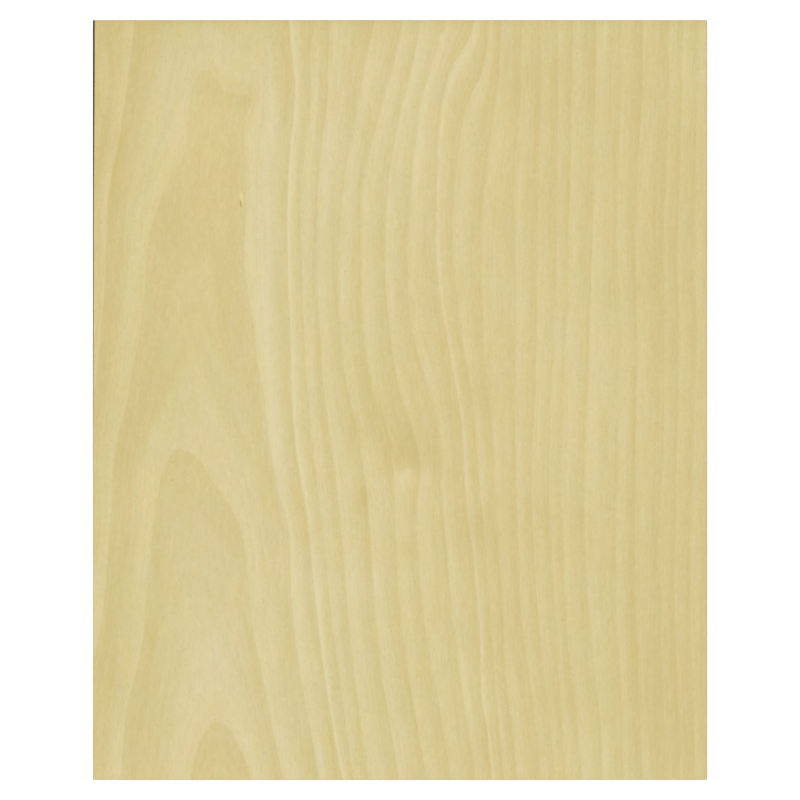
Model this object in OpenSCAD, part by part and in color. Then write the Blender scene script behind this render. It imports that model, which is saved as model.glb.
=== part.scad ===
// Plywood sheet: one pressed and trimmed panel of face-grade plywood.
// Millimetres. X runs across the face grain, Y along it, Z up through the plies.
// The origin is the middle of the underside, so the sheet lies on the plane Z = 0.

/* [Sheet] */
// Width of the sheet, across the grain of the face veneer
sheet_w = 205.3; // [100:0.1:1250]
// Length of the sheet, along the grain of the face veneer
sheet_l = 254; // [100:1:2500]
// Thickness of the sheet through all of its plies
sheet_t = 6; // [1.5:0.1:30]

/* [Edges] */
// Width of the sanded break along the eight edges of the two faces
arris = 0.25; // [0.1:0.05:0.6]
// Radius of the four sawn corners, seen from above
corner_r = 0.3; // [0.2:0.1:3]

/* [Hidden] */
// Sides of the circle that rounds a corner
corner_fn = 48;
// How far a cutting profile runs on past the sheet at each end
overrun = 1;

// Outline from above: a rectangle whose corners are true arcs.
module sawn_outline() {
    flat_w = sheet_w - 2 * corner_r;
    flat_l = sheet_l - 2 * corner_r;
    square([flat_w, sheet_l], center = true);
    square([sheet_w, flat_l], center = true);
    for (x = [-flat_w / 2, flat_w / 2], y = [-flat_l / 2, flat_l / 2])
        translate([x, y]) circle(r = corner_r, $fn = corner_fn);
}

// Section through the thickness over a span, with its four arrises broken at 45 degrees.
module broken_section(span) {
    half = span / 2;
    polygon([
        [-half + arris, 0], [half - arris, 0], [half, arris], [half, sheet_t - arris],
        [half - arris, sheet_t], [-half + arris, sheet_t], [-half, sheet_t - arris], [-half, arris]
    ]);
}

// The section across the grain, drawn out along Y past both ends.
module across_grain_prism() {
    run = sheet_l + 2 * overrun;
    translate([0, run / 2, 0])
        rotate([90, 0, 0])
            linear_extrude(height = run) broken_section(sheet_w);
}

// The section along the grain, drawn out along X past both sides.
module along_grain_prism() {
    run = sheet_w + 2 * overrun;
    translate([-run / 2, 0, 0])
        rotate([90, 0, 90])
            linear_extrude(height = run) broken_section(sheet_l);
}

// The whole sheet: its plies are bonded for good, so it is a single solid.
module plywood_sheet() {
    color([0.847, 0.788, 0.576])
        intersection() {
            linear_extrude(height = sheet_t) sawn_outline();
            across_grain_prism();
            along_grain_prism();
        }
}

plywood_sheet();
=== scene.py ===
"""Looks of a flat, unfinished sheet of softwood-faced plywood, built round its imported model."""

import logging
import math
from collections.abc import Callable, Iterator
from dataclasses import dataclass, field
from enum import Enum

import bmesh
import bpy
import numpy as np
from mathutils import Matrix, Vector


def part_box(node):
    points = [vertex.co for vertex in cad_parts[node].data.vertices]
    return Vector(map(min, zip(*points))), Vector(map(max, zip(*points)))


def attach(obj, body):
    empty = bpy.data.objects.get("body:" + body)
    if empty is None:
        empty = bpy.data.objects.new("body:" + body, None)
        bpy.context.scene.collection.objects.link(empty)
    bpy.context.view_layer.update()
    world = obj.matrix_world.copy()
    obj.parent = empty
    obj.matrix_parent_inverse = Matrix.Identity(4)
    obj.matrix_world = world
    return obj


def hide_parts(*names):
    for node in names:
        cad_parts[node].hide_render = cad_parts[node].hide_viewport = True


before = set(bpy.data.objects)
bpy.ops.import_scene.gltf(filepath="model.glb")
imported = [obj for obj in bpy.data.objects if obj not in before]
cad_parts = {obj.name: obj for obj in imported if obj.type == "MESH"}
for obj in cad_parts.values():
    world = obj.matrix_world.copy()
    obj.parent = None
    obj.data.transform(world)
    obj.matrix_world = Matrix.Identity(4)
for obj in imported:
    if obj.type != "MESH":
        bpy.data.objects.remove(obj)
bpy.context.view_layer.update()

logging.basicConfig(level=logging.INFO, format="%(message)s")
LOG = logging.getLogger("plywood")

MM = 0.001  # metres in a millimetre
SHEET_NODE = "plywood_sheet"

Point = tuple[float, float]
Rgb = tuple[float, float, float]
Size = tuple[float, float, float]
Array = np.ndarray


# ---- Small helpers ----


def linear(red: float, green: float, blue: float) -> Rgb:
    """Turns a colour as a paint chart gives it, 0 to 255 a channel, into linear light."""
    shares = (level / 255 for level in (red, green, blue))
    return tuple(s / 12.92 if s <= 0.04045 else ((s + 0.055) / 1.055) ** 2.4 for s in shares)


def ease(start: float, end: float, value: Array) -> Array:
    """Rises smoothly from 0 at start to 1 at end, or falls if end is the smaller."""
    share = np.clip((value - start) / (end - start), 0, 1)
    return share * share * (3 - 2 * share)


def bell(value: Array, centre: float, half_width: float) -> Array:
    """A bump of height 1 at centre that fades out over about twice its half width."""
    return np.exp(-(((value - centre) / half_width) ** 2))


def read(items: bpy.types.bpy_prop_collection, name: str, width: int = 1,
         kind: type = float) -> Array:
    """Reads a value from each item of a mesh.

    Args:
        items: The mesh's points, corners or faces, or the data of one of its attributes.
        name: What to read.
        width: How many numbers the value has.
        kind: What the numbers are.

    Returns:
        The values, in a row for each item where they have more than one number.
    """
    values = np.zeros(len(items) * width, kind)
    items.foreach_get(name, values)
    return values if width == 1 else values.reshape(-1, width)


@dataclass(frozen=True)
class Wander:
    """Smooth random wobble along a line, the same each run.

    Attributes:
        seed: Picks the wobble.
        step: Distance between its turning points, in mm.
    """

    seed: int
    step: float

    REACH = 400.0  # how far it runs to each side of the middle, in mm

    def along(self, place: Array) -> Array:
        """Works out the wobble.

        Args:
            place: Places along the line, in mm.

        Returns:
            The wobble there, from -1 to 1.
        """
        stations = np.arange(-self.REACH, self.REACH, self.step)
        heights = np.random.default_rng(self.seed).uniform(-1, 1, len(stations))
        return np.interp(place, stations, heights)


# ---- Veneer figure: where the growth rings surface on a face ----


@dataclass(frozen=True)
class GrowthLine:
    """The line where one year's dark late wood meets the next year's pale early wood.

    Attributes:
        points: Its course over the face, as (x, y) in mm, with the heart side on its left or under it.
        contrast: How strongly the ring outside it goes from pale to dark.
        gleam: Strength of the bright thread just outside it.
        arch: True where it turns back down both sides of the heart, as a cathedral tip does.
    """

    points: tuple[Point, ...]
    contrast: float = 1.0
    gleam: float = 0.0
    arch: bool = False

    def course(self, step: float = 4.0) -> Array:
        """Rounds the points off into a smooth course.

        Args:
            step: Length of a straight stretch of the result, in mm.

        Returns:
            The course as an array of (x, y).
        """
        given = np.array(self.points, float)
        padded = np.vstack([2 * given[0] - given[1], given, 2 * given[-1] - given[-2]])
        stretches = []
        for before, start, end, after in zip(padded, padded[1:], padded[2:], padded[3:]):
            count = max(2, int(np.hypot(*(end - start)) / step))
            t = np.linspace(0, 1, count, endpoint=False)[:, None]
            stretches.append(
                start
                + 0.5 * t * (end - before)
                + 0.5 * t**2 * (2 * before - 5 * start + 4 * end - after)
                + 0.5 * t**3 * (3 * start - before - 3 * end + after)
            )
        return np.vstack([*stretches, given[-1:]])


def arch(contrast: float, gleam: float, *points: Point) -> GrowthLine:
    """A growth line that turns over the heart, from its left foot to its right one."""
    return GrowthLine(points, contrast, gleam, arch=True)


def flank(contrast: float, gleam: float, *points: Point) -> GrowthLine:
    """A growth line that runs from the top end of the sheet to the bottom end."""
    return GrowthLine(points, contrast, gleam)


@dataclass(frozen=True)
class Patch:
    """A soft patch where the veneer is paler, warmer or redder than its rings make it.

    Attributes:
        x, y: Its middle, in mm.
        wide, long: Its half sizes across and along the grain, in mm.
        strength: How strong it is; below 0 it makes the veneer darker, cooler or greener.
        lean: How far it shifts across for each mm along.
    """

    x: float
    y: float
    wide: float
    long: float
    strength: float
    lean: float = 0.0

    def spread(self, x: Array, y: Array) -> Array:
        """Works out what the patch adds.

        Args:
            x: Places across the grain, in mm.
            y: Places along the grain, in mm.

        Returns:
            What it adds there.
        """
        along = (y - self.y) / self.long
        across = (x - self.x - self.lean * (y - self.y)) / self.wide
        return self.strength * np.exp(-(across**2 + along**2))


def patches(*rows: tuple[float, ...]) -> tuple[Patch, ...]:
    """Soft patches, each given as its numbers in the order that Patch has them."""
    return tuple(Patch(*row) for row in rows)


@dataclass(frozen=True)
class Figure:
    """The grain figure of one face veneer.

    Attributes:
        lines: Its growth lines, from the heart outwards.
        tones: Soft patches that are paler or darker.
        warmth: Soft patches that are yellower or cooler.
        reds: Soft patches that are redder or greener.
        squeeze: What one mm along the grain counts for across it, because rings are long.
        tip_width: Width of the wood inside the innermost line, in mm.
        last_width: Width of the ring beyond the outermost line, in mm.
        lead: How far inside its line each ring already starts, in mm.
        gleam_from: Where across the veneer its lines start to gleam, in mm.
    """

    lines: tuple[GrowthLine, ...]
    tones: tuple[Patch, ...]
    warmth: tuple[Patch, ...] = ()
    reds: tuple[Patch, ...] = ()
    squeeze: float = 0.25
    tip_width: float = 12.0
    last_width: float = 6.0
    lead: float = 0.2
    gleam_from: float = -75.0

    FAR = 400.0  # further out than any place on a sheet, in mm
    NARROW = 5.0  # width of a ring whose line wobbles in full, in mm
    GLEAM_FADE = 20.0  # how far across the gleam takes to come in, in mm
    LEAST = 0.1  # least width of wood inside the first line or beyond the last, in mm

    def gap(self, course: Array, x: Array, y: Array) -> Array:
        """Works out how far places are from a course, with the grain direction squeezed.

        Args:
            course: The course, as an array of (x, y).
            x: Places across the grain, in mm.
            y: Places along the grain, in mm.

        Returns:
            The distances, in mm across the grain.
        """
        squeezed = course * (1.0, self.squeeze)
        best = np.full(x.shape, self.FAR**2)
        level = y * self.squeeze
        for (ax, ay), (bx, by) in zip(squeezed, squeezed[1:]):
            dx, dy = bx - ax, by - ay
            share = np.clip(((x - ax) * dx + (level - ay) * dy) / (dx * dx + dy * dy), 0, 1)
            best = np.minimum(best, (x - ax - share * dx) ** 2 + (level - ay - share * dy) ** 2)
        return np.sqrt(best)

    def beyond(self, line: GrowthLine, course: Array, x: Array, y: Array) -> Array:
        """Tells whether places lie outside a line, seen from the heart.

        Args:
            line: The line.
            course: Its course, as an array of (x, y).
            x: Places across the grain, in mm.
            y: Places along the grain, in mm.

        Returns:
            True for each place outside it.
        """
        if line.arch:
            heart_side = [(course[0][0], -self.FAR)]
        else:
            heart_side = [(-self.FAR, -self.FAR), (-self.FAR, self.FAR), (course[0][0], self.FAR)]
        loop = np.vstack([heart_side, course, [(course[-1][0], -self.FAR)]])
        crossings = np.zeros(x.shape, int)
        for (ax, ay), (bx, by) in zip(loop, np.roll(loop, -1, axis=0)):
            if ay != by:
                level = (y >= min(ay, by)) & (y < max(ay, by))
                crossings += level & (ax + (y - ay) * (bx - ax) / (by - ay) > x)
        return crossings % 2 == 0

    def sample(self, x: Array, y: Array) -> dict[str, Array]:
        """Works out the figure at each place.

        Args:
            x: Places across the grain, in mm.
            y: Places along the grain, in mm.

        Returns:
            ring: whole rings passed from the heart plus the share of the present one,
            sway: how far its line wobbles, which is less where the ring is wide,
            contrast and gleam: those of the line last passed, blended to the next,
            tone, warm and red: the sums of the soft patches.
        """
        courses = [line.course() for line in self.lines]
        passed = np.sum([self.beyond(*pair, x, y) for pair in zip(self.lines, courses)], axis=0)
        last = len(self.lines)
        inner = np.zeros(x.shape)
        outer = np.zeros(x.shape)
        for number, course in enumerate(courses):
            outside = passed == number + 1
            inside = passed == number
            inner[outside] = self.gap(course, x[outside], y[outside])
            outer[inside] = self.gap(course, x[inside], y[inside])
        inner = np.where(passed == 0, np.maximum(self.tip_width - outer, self.LEAST), inner)
        outer = np.where(passed == last, np.maximum(self.last_width - inner, self.LEAST), outer)
        ring = passed + (inner + self.lead) / (inner + outer)
        numbers = np.arange(last + 1)
        contrasts = [self.lines[0].contrast] + [line.contrast for line in self.lines]
        gleams = [0.0] + [line.gleam for line in self.lines]
        gleaming = ease(self.gleam_from, self.gleam_from + self.GLEAM_FADE, x)
        drawn = {
            "ring": ring,
            "sway": np.minimum(1, self.NARROW / (inner + outer)),
            "contrast": np.interp(ring, numbers, contrasts),
            "gleam": np.interp(ring, numbers, gleams) * gleaming,
        }
        for name, group in (("tone", self.tones), ("warm", self.warmth), ("red", self.reds)):
            drawn[name] = sum((patch.spread(x, y) for patch in group), np.zeros(x.shape))
        return drawn


HEART_LINES = (
    arch(0.85, 0.0, (-72, -140), (-69.5, -122), (-67, -113), (-64, -108.5), (-60.8, -106.5),
         (-57.5, -108.5), (-54.5, -113), (-51.5, -119), (-49, -128), (-46, -140)),
    arch(1.0, 0.0, (-94, -140), (-93, -118), (-91, -102), (-88, -90), (-85.5, -75), (-84, -56),
         (-82.5, -41), (-80.5, -28), (-78.5, -21), (-76, -16.5), (-73.5, -15.5), (-70.5, -16),
         (-67, -19.5), (-63, -25.5), (-57.5, -33.5), (-53.5, -41), (-51, -52), (-50, -68),
         (-48, -82), (-45, -96), (-42, -113), (-37, -134)),
    arch(0.85, 0.2, (-107, -100), (-100.8, -78), (-97.9, -55), (-96.5, -35), (-95, -14), (-91.5, 0),
         (-89.5, 12), (-87, 23), (-85.5, 38), (-84.5, 52), (-81.5, 64), (-77.5, 73.5), (-73.5, 80),
         (-71.5, 86), (-71, 98), (-69, 107), (-66, 111), (-63, 110.5), (-60, 106.5), (-57, 103.5),
         (-52, 103), (-48.5, 101.5), (-50, 97), (-52, 90), (-51.5, 78), (-51.2, 66), (-51.8, 54),
         (-51.5, 42), (-49, 27), (-47.5, 13), (-45, 1), (-43.2, -15), (-41, -28), (-37, -42),
         (-36.5, -56), (-35.5, -72), (-33, -91), (-30, -108), (-26.5, -128)),
    arch(1.1, 1.5, (-106, -12), (-102, 6), (-99.5, 30), (-98.5, 45), (-98, 60), (-97, 73),
         (-94.1, 87), (-91.6, 103), (-89.7, 118), (-86, 140), (-62, 175), (-40, 145), (-36.5, 120),
         (-35, 104), (-36.5, 84), (-37.6, 60), (-36.8, 35), (-36.1, 8), (-35.2, -8), (-34, -21),
         (-31.5, -35), (-29.5, -52), (-27.5, -72), (-25, -92), (-21.6, -113), (-18.3, -130)),
    arch(0.75, 0.0, (-112, 60), (-103, 78), (-99, 95), (-97, 112), (-95.5, 132), (-62, 190),
         (-31, 140), (-30, 115), (-29.9, 94), (-32.6, 74), (-32.6, 45), (-31.5, 14), (-30, -6),
         (-27.5, -28), (-25, -49), (-22.5, -74), (-19, -99), (-15.3, -127)),
)

BOWED_LINES = (
    flank(0.75, 0.0, (-23.5, 135), (-24, 104), (-26.5, 78), (-27.4, 55), (-27, 30), (-25, 1),
          (-21.5, -25), (-18.5, -55), (-16.5, -82), (-13, -108), (-10, -128)),
    flank(1.0, 0.0, (-7, 133), (-11, 114), (-15, 92), (-19, 69), (-20.4, 50), (-20, 26), (-17, 3),
          (-13, -12), (-11, -30), (-9.5, -50), (-8, -74), (-4.5, -100), (0, -127)),
    flank(0.75, 0.0, (2, 131), (-2.5, 110), (-8.5, 88), (-12.3, 70), (-12.2, 50), (-12.5, 32),
          (-9.5, 6), (-4.5, -11), (-2, -24), (-1.5, -45), (0, -66), (2.5, -88), (6, -108),
          (9.5, -128)),
    flank(0.8, 0.0, (8, 132), (4.5, 112), (0, 94), (-3.5, 74), (-5, 50), (-4, 29), (-1, 8),
          (4, -8.5), (7, -21), (6, -37), (6.5, -55), (9, -78), (13, -100), (17, -127)),
    flank(0.55, 0.4, (18, 134), (12, 115), (7, 99), (4.3, 78), (3.1, 58), (3, 37), (5.2, 19),
          (10.5, 3), (13.5, -12), (14, -32), (16, -55), (19, -82), (23, -108), (26, -128)),
    flank(0.75, 1.4, (26, 135), (23.5, 121), (17.5, 111), (14, 97), (12.6, 78), (12.3, 50),
          (14.5, 29), (18.5, 6), (21, -9), (22.5, -35), (25, -56), (26.9, -80), (27, -91),
          (27.5, -101), (29.1, -109), (31, -128)),
    flank(0.75, 0.1, (30.5, 135), (28.5, 112), (22.5, 98), (19.5, 80), (18, 60), (18.5, 42),
          (21, 20), (24.5, 0), (26.3, -22), (28, -42), (30, -66), (32, -95), (35, -128)),
)

STRAIGHT_LINES = (
    flank(0.7, 0.0, (34.5, 133), (33, 108), (30.5, 88), (28, 66), (27.5, 45), (28.3, 14),
          (31, -9), (32, -34), (34.2, -66), (34.9, -88), (36.4, -101), (39.6, -128)),
    flank(0.6, 0.0, (41, 130), (40, 90), (38.5, 66), (39, 40), (38.8, 8), (39.4, -30), (41, -72),
          (45, -105), (47.5, -128)),
    flank(0.6, 0.0, (47.5, 130), (47, 92), (46, 66), (46, 25), (45, -5), (44, -30), (46.5, -74),
          (50, -105), (52, -128)),
    flank(0.45, 0.0, (53, 130), (53, 80), (52.5, 40), (50.5, -4), (50.3, -32), (52, -70),
          (55.5, -128)),
    flank(0.6, 0.0, (58, 130), (57, 75), (56, 30), (55, -6), (54, -32), (56, -76), (59.5, -110),
          (61, -128)),
    flank(0.7, 0.1, (66, 130), (65.5, 85), (64, 40), (63, 0), (61.8, -36), (63.5, -75),
          (67, -105), (68, -128)),
    flank(0.4, 0.0, (74.5, 130), (73.5, 85), (73, 45), (74.5, 20), (73.5, -15), (72.5, -50),
          (73.5, -90), (75, -128)),
    flank(0.7, 0.0, (81.4, 130), (81.2, 100), (79.9, 84), (79, 60), (79.4, 10), (78.6, -40),
          (79.3, -80), (81, -128)),
    flank(0.45, 0.0, (90.5, 130), (89.5, 80), (88.2, 52), (88.6, 0), (87.5, -50), (88, -95),
          (89.5, -128)),
    flank(0.45, 0.0, (95, 130), (94, 85), (93, 50), (93.5, 15), (92.3, -35), (92, -75),
          (94, -128)),
    flank(0.5, 0.0, (100, 130), (99, 80), (98.5, 50), (99.5, 15), (97.5, -35), (97.3, -75),
          (99, -128)),
)

FACE_TONES = patches(
    # broad patches, larger than a ring
    # the first, a thin dark strip along the top end of the face, is painted shade along that edge
    (-20, 127.6, 100, 1.3, -7), (-60, 122, 30, 13, -2.4), (47, 107, 20, 13, -3.2),
    (6, 102, 16, 26, 3.2, 0.25), (-61, 92, 11, 17, 2.8), (58, 92, 20, 12, -1.2),
    (-43.5, 58, 3.2, 58, 6.8), (-66, 27, 12, 14, -1.2), (62, 12, 20, 22, 2.2), (-102, 0, 13, 110, -2.6),
    (-38, 0, 15, 150, 2), (62, -10, 10, 16, 1), (86, -12, 18, 22, 1.6), (35, -44, 22, 9, -1),
    (77.5, -45, 2.2, 60, -2.6), (-66, -52, 11, 24, 3), (52, -85, 12, 16, -1.6), (86, -92, 12, 22, -2.2),
    (40, -118, 22, 9, -1.2),
    # the left margin
    (-98, 120, 3, 6, -4), (-90, 112, 8, 8, -2), (-90, 110, 3, 9, -1.6), (-102, 104, 2, 26, -7),
    (-89, 103, 2.5, 5, 1.9), (-100.5, 100, 2.5, 12, -2.5), (-97, 92, 5, 10, -2.2), (-95, 80, 3, 7, -2.2),
    (-96, 78, 3, 18, -4, 0.2), (-97.7, 71, 0.9, 9, 5, 0.15), (-101, 52, 2, 16, -2), (-98, 47, 4, 8, -2.2),
    (-100.5, 37, 2.5, 9, -3), (-93, 37, 3, 9, 2.6), (-91, 22, 4, 8, -1.8), (-97, -4, 5, 12, -1.5),
    (-95, -32, 3, 10, 1.5), (-94, -35, 2.5, 12, 2.5), (-101, -52, 2, 8, -2.2), (-91, -60, 4, 18, -2.5),
    (-100, -75, 3, 20, 4), (-90, -86, 2.5, 12, -1.8), (-94, -90, 4, 12, -3), (-98, -93, 4, 14, -4),
    (-99, -117, 4, 10, -4), (-90, -118, 4, 9, 1.8), (-88, -118, 3, 9, 2.5), (-94, -122, 3, 12, 3),
    # the heart
    (-78, 115, 3, 7, 2), (-80, 113, 4, 7, 1.6), (-50, 108, 6, 9, -2.5), (-62, 105.5, 5, 4, -3),
    (-71.5, 104, 3, 10, 0.8), (-58, 101, 5, 4, -2.5), (-53, 101, 4.5, 3, -3), (-48, 100, 4, 9, -3),
    (-67, 90, 5, 10, 2.5), (-57, 90, 3, 6, 1.5), (-59, 84, 4, 6, 2.4), (-80, 80, 3, 7, -1.9),
    (-70, 78, 7, 14, 2.2), (-84, 70, 4, 12, -1.8), (-73, 70, 6, 4, 2), (-54, 66, 3, 5, 2),
    (-53, 66, 3, 4, 1.6), (-62, 57, 7, 6, 2.4), (-54, 57, 8, 6, 2), (-70, 46, 6, 5, 2.2),
    (-48, 42, 5, 9, 2), (-50, 41, 2.5, 5, 2), (-68, 36, 6, 4, -2), (-64, 25, 10, 12, -1.5),
    (-50, 25, 3, 12, 1.5), (-76, 13, 8, 19, -3.5, 0.25), (-66, 9, 4, 5, -1.5), (-69, 4, 9, 9, -2.5),
    (-50, 2, 4, 5, -1.5), (-84, -2, 5, 14, -3, 0.3), (-77, -3, 7, 12, -1.5), (-56, -13, 4, 6, -2.5),
    (-75, -21, 4, 4, -2.2), (-84, -24, 2.5, 5, 1.6), (-72, -33, 5, 4, 1.9), (-78, -40, 5, 8, 1.5),
    (-57, -63, 5, 8, 1.7), (-53, -66, 4, 14, 2.5), (-80, -72, 2, 6, 2), (-52, -80, 3, 14, 2),
    (-63, -82, 8, 6, 1.7), (-62, -88, 9, 12, 2.5), (-49, -88, 2, 9, 1.7), (-60, -108, 9, 8, 1.5),
    (-48, -112, 5, 15, 1.6),
    # the pale bands beside the heart
    (-44, 122, 4, 4, -1.4), (-28, 120, 4, 9, -2.2), (-37, 107, 2.5, 8, -1.8), (-41, 94, 2, 6, 2.2),
    (-28, 85, 3, 8, 2.5), (-36, 80, 2.5, 11, 1.9), (-40, 78, 4, 20, 1.5), (-25, 68, 4, 9, 1.8),
    (-35, 12, 2, 14, 1.8), (-41.5, -8, 2.5, 22, 4, -0.1), (-34, -37, 2, 9, -3.5, -0.2),
    (-37, -58, 4, 11, 4, -0.1), (-28, -58, 2, 10, 2.5, -0.1), (-26.5, -60, 3, 9, 3, -0.1),
    (-38, -62, 6, 15, 1.5), (-27, -66, 3, 5, 1.9), (-31, -88, 5, 9, 3), (-31, -90, 3, 8, 1.8),
    (-43, -114, 4, 10, 2), (-28, -118, 3, 5, -1.6),
    # the bowed rings above and below the swirl
    (-7, 123, 7, 5, -2.5), (-10, 120, 3, 5, -2), (7, 116, 4, 9, 2, 0.3), (16, 114, 3, 7, 1.9),
    (-13, 111, 5, 7, 1.8), (17, 109, 4, 9, -1.8), (-8, 107, 4, 9, 1.8), (2, 100, 4, 6, 1.5),
    (17, 95, 4, 6, -1.6), (3, 92, 4, 10, 2.5), (17, 91, 3, 8, -2), (0, 85, 5, 5, 1.8),
    (-22, 82, 5, 16, 3, 0.1), (-19, 80, 4, 13, 1.8), (22, 80, 3, 16, 1.6), (6.5, 76, 1.5, 8, 2.5),
    (10, 68, 5, 16, 1.8), (-8, 66, 9, 9, 1.5), (30, 63, 4, 5, -2.5), (-22, 42, 5, 12, 1.6),
    (17, 30, 3, 9, -1.8), (7, 28, 5, 8, -2), (16, 20, 1.5, 7, -3.5), (-15, 14, 4, 7, -1.8),
    (-6, 12, 3, 6, -1.8), (-6, -36, 2, 5, 1.6), (-13, -39, 2, 5, 2.2), (-3, -40, 4, 8, 2, -0.3),
    (24, -40, 3, 7, -1.9), (26, -41, 6, 8, -5), (1, -46, 3, 3, 2.2), (10, -47, 2, 8, 1.8),
    (1.5, -49, 3, 4, -3.5), (2, -53, 3, 5, -2.3), (27, -53, 4, 5, -1.8), (6, -58, 12, 6, 1.3),
    (15, -60, 5, 6, 1.8), (-18, -62, 2, 10, 1.5, -0.1), (-15, -62, 7, 9, 2.5), (-12, -66, 4, 8, 2),
    (20, -78, 3, 5, -1.5), (9, -79, 3, 5, 1.5), (21, -80, 4, 8, -2), (-8, -88, 3, 8, 1.4),
    (22, -90, 2.5, 6, -1.5), (20.5, -97, 3, 15, 3.5, -0.15), (6, -98, 4, 16, -2, -0.15),
    (15, -98, 3, 10, -1.8), (28, -100, 3, 10, 1.5), (-7, -110, 3, 6, 1.6),
    (-22, -114, 1.5, 10, -2.5, -0.15), (27, -115, 3, 7, -2.2), (2, -120, 8, 6, 2),
    # the swirl over a knot that lies just under the face
    (18.5, 4, 1.1, 15, -2.2, -0.18), (5, 3, 3, 8, -3.2, -0.2), (27, 3, 6, 16, -3.5),
    (14, 2, 3, 15, -3, -0.25), (-12.5, 0, 4, 12, -3, -0.3), (-5, -1, 5, 11, -4.5, -0.4),
    (25, -1, 9, 8, -1.3), (1, -4, 2.5, 5, 2), (1, -5, 3, 4, 1.6), (-15, -8, 2.5, 8, -1.8, -0.2),
    (-14, -9, 5, 6, -2.8), (7, -10, 3, 7, -2.2, -0.3), (2, -12, 9, 9, -6, -0.4), (8, -18, 6, 6, -3),
    (-2, -19, 4, 6, -2.8, -0.3), (-1, -19, 4, 5, -5), (5, -20, 4, 3, -1.5), (16, -24, 3, 5, -2.3),
    (2, -26, 3.5, 4.5, 3.6), (4, -26, 4, 3, 2.5), (-17, -27, 3, 6, 2.5), (-9, -28, 10, 8, 2),
    (-11, -30, 2.5, 8, -2.6, -0.2), (-12, -33, 3, 4.5, -6), (27, -35, 3, 3, 1.9),
    # the straight-grained side
    (60, 121, 5, 8, -2.2), (33, 117, 5, 8, -2.5), (95, 112, 9, 16, 3), (63, 107, 3, 4, 2.2),
    (51, 106, 3, 4, 1.5), (80, 103, 4, 8, -2.5), (38, 98, 3, 5, 1.5), (80, 96, 2, 9, -2),
    (71, 95, 3, 5, -1.6), (38, 90, 4, 5, 2), (64, 88, 4, 8, 1.8), (51, 72, 7, 10, -1.6),
    (60, 69, 3, 7, -1.5), (47, 62, 5, 14, -2), (84, 45, 8, 22, -1.5), (36, 40, 4, 14, 1.3),
    (76, 38, 3, 7, -1.8), (76, 36, 6, 6, -2), (38, 33, 5, 6, 2), (63, 30, 6, 10, 1.4),
    (71, 20, 3, 8, 1.8), (44, 14, 8, 6, 1.4), (86, 8, 5, 3, 2), (98, -2, 3, 18, 1.6),
    (60, -20, 4, 10, 1.8), (36, -22, 3, 6, 1.8), (46, -26, 3, 5, 1.8), (45, -38, 6, 6, -1.5),
    (44, -40, 3, 6, -1.9), (57, -42, 5, 9, -1.8), (44, -52, 16, 4, -1.3), (95, -70, 4, 8, 1.8),
    (35, -75, 6, 25, -2.5, -0.1), (33, -76, 7, 9, -1.3), (43, -93, 3, 6, 1.5), (80, -95, 7, 12, -1.8),
    (53, -100, 8, 9, -3), (56, -110, 3, 6, -1.6), (94, -113, 7, 6, -1.5), (93, -115, 7, 6, -1.8),
    (32, -116, 6, 6, -1.3), (60, -117, 10, 9, 2.4),
)

FACE_WARMTH = patches(
    # broad patches, larger than a ring
    (-61, 92, 11, 17, 1.2), (42, 68, 22, 40, 0.25), (-66, 62, 12, 34, 0.8), (-43.5, 58, 3.2, 58, -0.6),
    (38, 1, 22, 13, 0.5), (40, -48, 18, 12, 0.35), (-66, -52, 11, 24, -0.6), (-20, -78, 12, 22, -0.35),
    (-45, -82, 28, 38, -0.3), (-38, -108, 12, 16, -0.45),
    # the left margin
    (-92, 26, 9, 9, 0.4), (-94, -58, 6, 8, -0.5), (-90, -113, 8, 12, -0.5),
    # the heart
    (-70, 118, 14, 8, -1), (-62, 105.5, 5, 4, 0.8), (-71.5, 104, 3, 10, -0.9), (-58, 101, 5, 4, 0.6),
    (-53, 101, 4.5, 3, 0.5), (-59, 100, 8, 8, -0.3), (-58, 98, 11, 12, -0.6), (-77, 95, 3, 12, -1),
    (-66, -3, 9, 12, -0.6), (-73, -4, 5, 5, -1), (-62, -88, 9, 12, -0.8),
    # the pale bands beside the heart
    (-33, 84, 7, 8, -0.5), (-27, 58, 5, 11, -0.6), (-28, 52, 7, 14, -0.5), (-28, 32, 5, 9, 0.4),
    (-41.5, -8, 2.5, 22, -0.5, -0.1),
    # the bowed rings above and below the swirl
    (-10, 92, 12, 8, -0.45), (15, 92, 5, 7, 0.3), (-24, 64, 4, 4, -0.5), (-8, 46, 5, 6, 0.7),
    (20, 27, 10, 12, 0.35),
    # the swirl over a knot that lies just under the face
    (5, 3, 3, 8, 0.5, -0.2), (-5, -1, 5, 11, 0.5, -0.4), (2, -12, 9, 9, 0.5, -0.4), (3, -12, 8, 10, -0.3),
    (4, -12, 5, 9, -0.5), (-2, -19, 4, 6, 0.6, -0.3), (-1, -19, 4, 5, 0.6), (5, -28, 14, 6, 0.4),
    # the straight-grained side
    (75, 58, 10, 10, 0.3), (90, 22, 9, 9, 0.35), (70, 6, 11, 10, 0.5), (65, -22, 4, 6, 0.6),
    (92, -34, 5, 6, 0.5), (48, -72, 12, 7, 0.4), (32, -78, 8, 10, 0.3), (98, -92, 6, 14, 0.6),
)

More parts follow.
